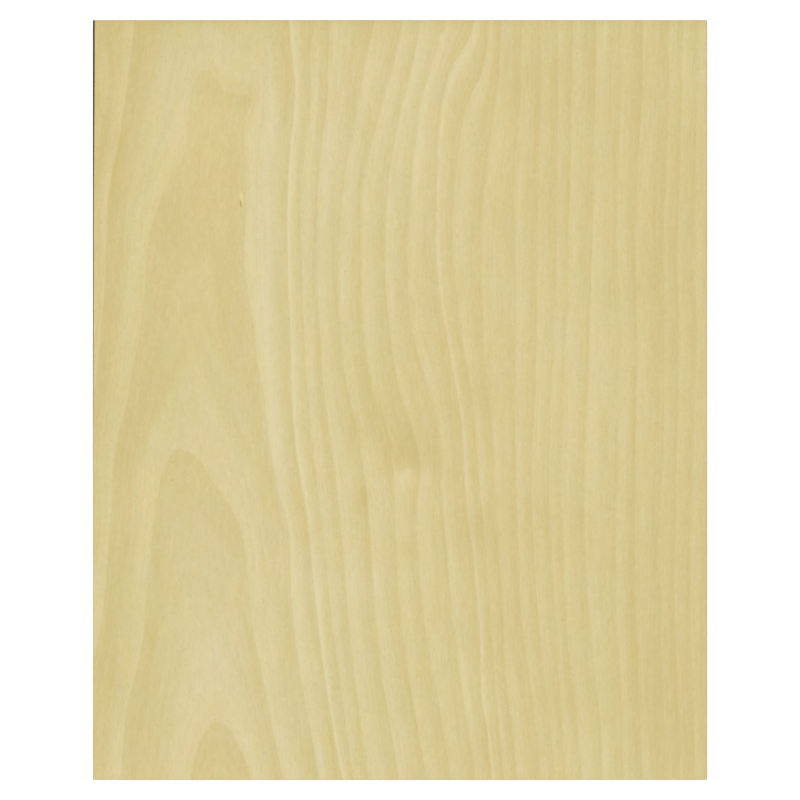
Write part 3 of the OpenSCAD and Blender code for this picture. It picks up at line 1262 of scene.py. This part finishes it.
@dataclass
class PlywoodSheet:
    """The sheet: five veneers glued into one panel and sawn to size.

    Attributes:
        width: Across the face grain, in mm.
        length: Along the face grain, in mm.
        thickness: Through the sheet, in mm.
        corner: Radius of its four upright corners, in mm.
        arris: Width of the broken edges round both faces, in mm.
        cells_across: Mesh cells across the sheet.
        cells_along: Mesh cells along the sheet.
        top_figure: The grain of the face veneer.
        back_figure: The grain of the back veneer.
        layout: How its surfaces are laid out for baking.
    """

    width: float
    length: float
    thickness: float
    corner: float = 0.3
    arris: float = 0.25
    cells_across: int = 240
    cells_along: int = 146
    top_figure: Figure = GOOD_FACE
    back_figure: Figure = field(default_factory=plain_back)
    layout: BakeLayout = BakeLayout()

    SKIN = 0.002  # how near a point lies to a plane that counts as on it, in mm
    UPRIGHT = 0.3  # a mesh face whose normal points up or down by less than this is part of an edge
    RIM_ROW = 0.4  # how far the outermost mesh rows of the edges lie from the faces, in mm
    RING_DEPTH = 0.02  # how far the soft early wood sinks under the late wood, in mm

    # ---- shape ----

    def levels(self) -> list[float]:
        """Works out the heights of the mesh rows round the edges.

        Returns:
            Each glue line, its lips and a row between, from the underside up, in mm.
        """
        heights = []
        for veneer, base, top in plies():
            lower = base + (self.RIM_ROW if veneer is LAYUP[0] else GLUE_HALF)
            upper = top - (self.RIM_ROW if veneer is LAYUP[-1] else GLUE_HALF)
            heights += [lower, (lower + upper) / 2, upper, top]
        return heights

    def shape(self) -> bmesh.types.BMesh:
        """Builds the closed panel, in mm, with its underside on the ground.

        Returns:
            Its mesh.
        """
        bm = bmesh.new()
        bmesh.ops.create_grid(bm, x_segments=self.cells_across, y_segments=self.cells_along, size=0.5)
        bmesh.ops.scale(bm, vec=(self.width, self.length, 1), verts=bm.verts)
        cap = bm.verts[:] + bm.edges[:] + bm.faces[:]
        before = 0.0
        for height in self.levels():
            cap = bmesh.ops.extrude_face_region(bm, geom=cap)["geom"]
            points = [part for part in cap if isinstance(part, bmesh.types.BMVert)]
            bmesh.ops.translate(bm, vec=(0, 0, height - before), verts=points)
            before = height
        bmesh.ops.recalc_face_normals(bm, faces=bm.faces[:])
        self.round_edges(bm, self.upright_corners(bm), self.corner, 3)
        self.round_edges(bm, self.rims(bm), self.arris, 2)
        bmesh.ops.recalc_face_normals(bm, faces=bm.faces[:])
        return bm

    def upright_corners(self, bm: bmesh.types.BMesh) -> list[bmesh.types.BMEdge]:
        """Finds the edges up the four corners.

        Args:
            bm: The mesh.

        Returns:
            The edges.
        """
        def at_corner(vert: bmesh.types.BMVert) -> bool:
            """Tells whether a point lies on one of them."""
            return (abs(abs(vert.co.x) - self.width / 2) < self.SKIN
                    and abs(abs(vert.co.y) - self.length / 2) < self.SKIN)

        return [edge for edge in bm.edges if all(at_corner(vert) for vert in edge.verts)]

    def rims(self, bm: bmesh.types.BMesh) -> list[bmesh.types.BMEdge]:
        """Finds the edges round both faces.

        Args:
            bm: The mesh.

        Returns:
            The edges.
        """
        def upright(face: bmesh.types.BMFace) -> bool:
            """Tells whether a face stands up."""
            return abs(face.normal.z) < self.UPRIGHT

        bm.normal_update()
        return [edge for edge in bm.edges if len({upright(face) for face in edge.link_faces}) == 2]

    @staticmethod
    def round_edges(bm: bmesh.types.BMesh, edges: list[bmesh.types.BMEdge], size: float,
                    segments: int) -> None:
        """Rounds edges off.

        Args:
            bm: The mesh.
            edges: The edges.
            size: Width of the rounding, in mm.
            segments: Faces across it.
        """
        bmesh.ops.bevel(bm, geom=edges, offset=size, offset_type="OFFSET", affect="EDGES",
                        segments=segments, profile=0.5, material=-1, clamp_overlap=False)

    # ---- dressing ----

    def build(self) -> bpy.types.Object:
        """Builds the finished piece.

        Returns:
            The piece, in metres.
        """
        mesh = bpy.data.meshes.new("sawn_plywood")
        bm = self.shape()
        bm.to_mesh(mesh)
        bm.free()
        places = read(mesh.vertices, "co", 3)
        self.draw_figure(mesh, places)
        self.sort_surfaces(mesh)
        self.lay_out(mesh, places)
        places = self.relief(mesh, places)
        mesh.vertices.foreach_set("co", (places * MM).ravel())
        mesh.update()
        piece = bpy.data.objects.new("sawn_plywood", mesh)
        bpy.context.scene.collection.objects.link(piece)
        self.dress(piece)
        return piece

    def draw_figure(self, mesh: bpy.types.Mesh, places: Array) -> None:
        """Writes both faces' figure on the mesh's points.

        Args:
            mesh: The mesh.
            places: Its points, in mm.
        """
        upper = places[:, 2] > self.thickness / 2
        drawn = {}
        for chosen, figure in ((upper, self.top_figure), (~upper, self.back_figure)):
            columns = np.round(places[chosen, :2], 3)
            spots, which = np.unique(columns, axis=0, return_inverse=True)
            for name, values in figure.sample(spots[:, 0], spots[:, 1]).items():
                drawn.setdefault(name, np.zeros(len(places)))[chosen] = values[which.ravel()]
        drawn["tone"] += np.where(upper, self.broad_tone(places[:, 0], places[:, 1]), 0)
        for name, values in drawn.items():
            layer = mesh.attributes.new(name, "FLOAT", "POINT")
            layer.data.foreach_set("value", values.astype(np.float32))

    @staticmethod
    def broad_tone(x: Array, y: Array) -> Array:
        """Slow change of tone over the face: palest left of the middle, darker right and top.

        Args:
            x: Places across the grain, in mm.
            y: Places along the grain, in mm.

        Returns:
            What it adds to the tone there.
        """
        middle = 1.6 * bell(x, -15, 45)
        right = -2.6 * ease(72, 84, x)
        top = -3.5 * ease(122.5, 126.5, y) - 2.0 * ease(112, 126, y) * ease(-60, -95, x)
        return middle + right + top

    def sort_surfaces(self, mesh: bpy.types.Mesh) -> None:
        """Gives each mesh face the material slot of the surface it belongs to.

        Args:
            mesh: The mesh.
        """
        x, y, z = read(mesh.polygons, "normal", 3).T
        edge = np.where(np.abs(x) > np.abs(y), Surface.LONG_EDGE.value, Surface.END_EDGE.value)
        flat = np.where(z > 0, Surface.FACE.value, Surface.BACK.value)
        slots = np.where(np.abs(z) < self.UPRIGHT, edge, flat)
        mesh.polygons.foreach_set("material_index", slots.astype(np.int32))

    def lay_out(self, mesh: bpy.types.Mesh, places: Array) -> None:
        """Lays the surfaces out flat for the baked finish: both faces side by side, edges above.

        Args:
            mesh: The mesh.
            places: Its points, in mm.
        """
        page = self.layout
        counts = read(mesh.polygons, "loop_total", kind=np.int32)
        slot = np.repeat(read(mesh.polygons, "material_index", kind=np.int32), counts)
        middle_x, middle_y, _ = np.repeat(read(mesh.polygons, "center", 3), counts, axis=0).T
        x, y, z = places[read(mesh.loops, "vertex_index", kind=np.int32)].T
        east, north = x + self.width / 2, y + self.length / 2
        back_start = 3 * page.gap + page.face * self.width
        areas = [
            (slot == Surface.FACE.value, page.gap + page.face * east, page.gap + page.face * north),
            (slot == Surface.BACK.value, back_start + page.back * east, page.gap + page.back * north),
        ]
        shelf = 3 * page.gap + page.face * self.length
        strip = page.edge_up * self.thickness + 2 * page.gap
        long_edge, end_edge = slot == Surface.LONG_EDGE.value, slot == Surface.END_EDGE.value
        for row, (chosen, distance) in enumerate((
            (long_edge & (middle_x < 0), north), (long_edge & (middle_x > 0), north),
            (end_edge & (middle_y < 0), east), (end_edge & (middle_y > 0), east),
        )):
            areas.append((chosen, page.gap + page.edge_along * distance,
                          shelf + row * strip + page.edge_up * z))
        across, up = np.zeros(len(slot)), np.zeros(len(slot))
        for chosen, area_across, area_up in areas:
            across[chosen] = area_across[chosen]
            up[chosen] = area_up[chosen]
        flat = np.stack([across, up], axis=1) / page.page
        mesh.uv_layers.new(name="OFBake").data.foreach_set("uv", flat.ravel().astype(np.float32))

    def relief(self, mesh: bpy.types.Mesh, places: Array) -> Array:
        """Cuts the edges and faces back a little where the wood is soft or the saw bit deeper.

        Args:
            mesh: The mesh, with its figure drawn.
            places: Its points, in mm.

        Returns:
            The moved points, none of them further out than before.
        """
        ring = read(mesh.attributes["ring"].data, "value")
        x, y, level = places.T
        to_side = self.width / 2 - np.abs(x)
        to_end = self.length / 2 - np.abs(y)
        inside_rim = ease(self.arris, 6 * self.arris, np.minimum(to_side, to_end))
        softness = (1 - np.interp(ring % 1, *zip(*VeneerFinish.YEAR))) / 2
        dip = self.RING_DEPTH * softness * inside_rim
        z = np.where(level < self.SKIN, level + dip, level)
        z = np.where(level > self.thickness - self.SKIN, level - dip, z)
        wall = ease(self.arris, 2 * self.arris, z) * ease(self.arris, 2 * self.arris, self.thickness - z)

        def sawn(out: Array, gap: Array, along: Array, end_gap: Array, facing: Grain) -> Array:
            """Moves the points of two opposite edges in.

            Args:
                out: Places square to the edges, in mm.
                gap: How far they are in from the nearer edge, in mm.
                along: Places along the edges, in mm.
                end_gap: How far those are in from the edges' ends, in mm.
                facing: The grain of the plies that show side grain there.

            Returns:
                The moved places, square to the edges.
            """
            cut = self.edge_cut(along, level, np.sign(out), facing) * wall
            cut = cut * ease(self.corner, 8 * self.corner, end_gap)
            return out - np.sign(out) * np.where(gap < self.SKIN, cut, 0)

        return np.stack([sawn(x, to_side, y, to_end, Grain.ALONG),
                         sawn(y, to_end, x, to_side, Grain.ACROSS), z], axis=1)

    def edge_cut(self, along: Array, level: Array, side: Array, facing: Grain) -> Array:
        """How far a sawn edge lies in from its true plane, at each of its points.

        Args:
            along: Places along the edge, in mm.
            level: Heights over the underside, in mm.
            side: -1 or 1, for the two edges that face opposite ways.
            facing: The grain of the plies that show side grain there.

        Returns:
            The depths, in mm.
        """
        seed = 1 if facing is Grain.ALONG else 5
        # the waves of the saw, then wood torn out of each ply and a groove at each glue line
        depth = 0.02 + 0.02 * np.where(side > 0, Wander(seed, 6.0).along(along),
                                       Wander(seed + 1, 6.0).along(along))
        torn = np.random.default_rng(seed).uniform(0, 1, len(along))
        for order, (veneer, base, top) in enumerate(plies()):
            inside = (level > base + self.SKIN) & (level < top - self.SKIN)
            lean = 0.5 + 0.5 * Wander(seed + 10 + order, 17.0).along(along)
            if veneer.grain is facing:
                depth = depth + inside * (0.01 + 0.02 * lean)
            else:
                depth = depth + inside * (0.03 + 0.05 * torn + 0.03 * lean)
            on_glue = np.abs(level - top) < self.SKIN
            depth = depth + on_glue * (0.06 + 0.05 * lean)
        return depth

    def dress(self, piece: bpy.types.Object) -> None:
        """Gives each surface its finish.

        Args:
            piece: The piece, with a material slot number on each of its faces.
        """
        # painted shadow: a near-black line along the left edge, on the face and down the edge
        painted_edge_shadow = PaintedEdgeShadow(self.width / 2, self.length / 2)
        # painted shade: a narrow darker, greyer line round both faces along their arrises
        rim = ShadedArrisLine(self.width / 2, self.length / 2)
        dark_grain = linear(203, 179, 114)
        chip = linear(234, 216, 162)
        pitch = linear(118, 98, 52)
        nick = (
            Mark(-53.6, 73.0, 0.35, 4.5, chip, 0.18),
            Mark(-53.05, 68.3, 0.6, 1.7, chip, 0.65, -0.08),
            Mark(-52.75, 66.4, 0.35, 1.9, chip, 0.45, -0.12),
            Mark(-53.25, 65.6, 0.36, 1.35, pitch, 0.38, -0.14),
        )
        knot = (
            Mark(-4.8, -9.0, 0.8, 11.0, dark_grain, 0.28, -0.25),
            Mark(-0.8, -14.0, 0.9, 7.0, dark_grain, 0.25, -0.35),
            Mark(3.2, -18.6, 1.9, 4.4, dark_grain, 0.1, -0.3),
            Mark(5.4, -21.4, 2.6, 1.8, dark_grain, 0.16),
            Mark(-0.6, -20.6, 1.3, 3.8, dark_grain, 0.26, -0.1),
            Mark(-12.2, -31.6, 1.4, 4.0, dark_grain, 0.16),
            Mark(2.3, -24.7, 1.7, 2.2, linear(229, 213, 165), 0.36, 0.25),
            Mark(0.5, -26.8, 1.0, 1.6, linear(228, 213, 166), 0.35),
            Mark(9.2, -25.6, 1.0, 3.4, linear(227, 213, 166), 0.3),
        )
        thickness = self.thickness
        finishes = {
            Surface.FACE: VeneerFinish("face_veneer", 194.0, 4.4, 1.0, 0.0, (*knot, *nick, rim, painted_edge_shadow)),
            Surface.BACK: VeneerFinish("back_veneer", 191.0, 3.5, 1.4, 40.0, (rim,)),
            Surface.LONG_EDGE: SawnEdgeFinish("long_sawn_edge", Grain.ALONG, thickness, 60.0, painted_edge_shadow),
            Surface.END_EDGE: SawnEdgeFinish("end_sawn_edge", Grain.ACROSS, thickness, 80.0),
        }
        for surface in Surface:
            piece.data.materials.append(finishes[surface].build())


# ---- The studio ----


@dataclass(frozen=True)
class Studio:
    """A white floor, soft even light and a camera straight above the sheet.

    Attributes:
        target_height: Height of the surface that the camera frames, in metres.
        view_width: Width of the view at that height, in metres.
        lens: Focal length, in mm.
        sensor: Width of the camera's sensor, in mm.
        sky: Strength of the light from all round.
        lamp: Strength of the big overhead lamp.
        lamp_size: How wide the lamp looks from the sheet, in degrees.
        lamp_tilt: How far it is turned about x and y, in degrees.
        floor_half: Half the side of the floor, in metres.
        floor_drop: How far the floor lies under the sheet, in metres.
    """

    target_height: float
    view_width: float = 0.26738
    lens: float = 200.0
    sensor: float = 36.0
    sky: float = 0.52
    lamp: float = 1.455
    lamp_size: float = 60.0
    lamp_tilt: Point = (-3.0, -4.0)
    floor_half: float = 6.0
    floor_drop: float = 0.0002

    def floor(self) -> None:
        """Lays the floor."""
        mesh = bpy.data.meshes.new("floor")
        bm = bmesh.new()
        bmesh.ops.create_grid(bm, x_segments=4, y_segments=4, size=self.floor_half)
        bmesh.ops.translate(bm, vec=(0, 0, -self.floor_drop), verts=bm.verts)
        bm.to_mesh(mesh)
        bm.free()
        floor = bpy.data.objects.new("floor", mesh)
        bpy.context.scene.collection.objects.link(floor)
        mesh.materials.append(FloorFinish().build())

    def light(self) -> None:
        """Sets the even light of the room and the big soft lamp overhead."""
        world = bpy.data.worlds.new("studio")
        bpy.context.scene.world = world
        world.use_nodes = True
        backdrop = world.node_tree.nodes["Background"]
        backdrop.inputs["Color"].default_value = (1, 1, 1, 1)
        backdrop.inputs["Strength"].default_value = self.sky
        lamp = bpy.data.lights.new("overhead_lamp", "SUN")
        lamp.energy = self.lamp
        lamp.angle = math.radians(self.lamp_size)
        holder = bpy.data.objects.new("overhead_lamp", lamp)
        holder.rotation_euler = (*(math.radians(turn) for turn in self.lamp_tilt), 0)
        bpy.context.scene.collection.objects.link(holder)

    def camera(self) -> None:
        """Hangs the camera over the middle of the sheet, with the grain running up the view."""
        lens = bpy.data.cameras.new("camera")
        lens.lens = self.lens
        lens.sensor_width = self.sensor
        lens.clip_end = 100
        holder = bpy.data.objects.new("camera", lens)
        distance = self.view_width * self.lens / self.sensor
        holder.location = (0, 0, self.target_height + distance)
        bpy.context.scene.collection.objects.link(holder)
        bpy.context.scene.camera = holder

    def build(self) -> None:
        """Builds the studio."""
        self.floor()
        self.light()
        self.camera()
        bpy.context.scene.view_settings.view_transform = "Standard"


# ---- Everything in order ----


def main() -> None:
    """Builds the sheet and the studio."""
    low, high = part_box(SHEET_NODE)
    width, length, thickness = (high - low) / MM
    sheet = PlywoodSheet(width, length, thickness).build()
    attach(sheet, "root")
    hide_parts(SHEET_NODE)
    LOG.info("sheet: %.1f x %.1f x %.1f mm, %d faces", width, length, thickness,
             len(sheet.data.polygons))
    LOG.info("plies, underside first: %s", ", ".join(veneer.name for veneer in LAYUP))
    Studio(target_height=high.z).build()
    LOG.info("studio: floor, light and camera")


if __name__ == "__main__":
    main()
